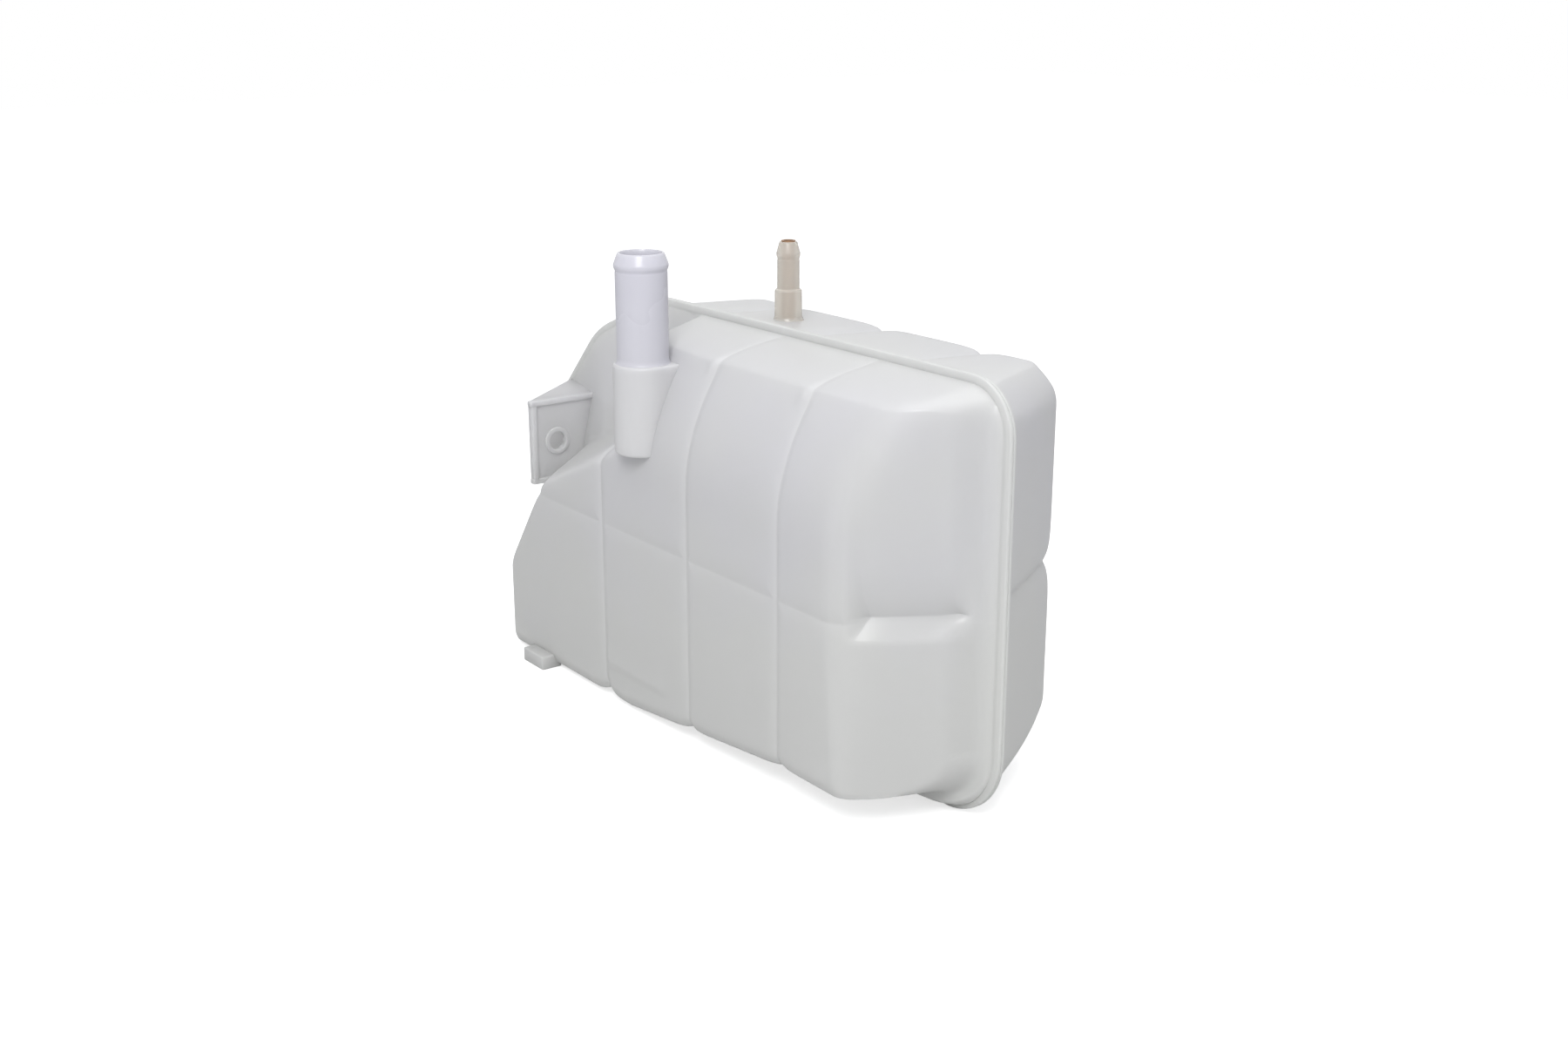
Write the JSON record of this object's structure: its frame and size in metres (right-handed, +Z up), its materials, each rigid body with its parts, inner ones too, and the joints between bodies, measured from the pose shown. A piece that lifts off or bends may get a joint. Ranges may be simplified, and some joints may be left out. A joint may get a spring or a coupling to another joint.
{
  "type": "coolant expansion tank",
  "caption": "Translucent coolant expansion tank welded from two pillowed half shells, with a large hose nipple, a small vent nipple with a metal tube, and a side bracket.",
  "frame": {"origin": "on the floor, under the middle of the tank, in the plane of the weld between the two halves", "axes": "+X runs along the tank away from the bracket, +Y from the front half to the rear half, +Z up along the nipples"},
  "size_m": [0.297, 0.109, 0.188],
  "materials": {
    "natural_plastic": "translucent natural polypropylene, satin",
    "brown_metal": "dull brown"
  },
  "bodies": {
    "root": {"front_shell": "natural_plastic", "rear_shell": "natural_plastic", "vent_tube": "brown_metal"}
  },
  "joints": []
}
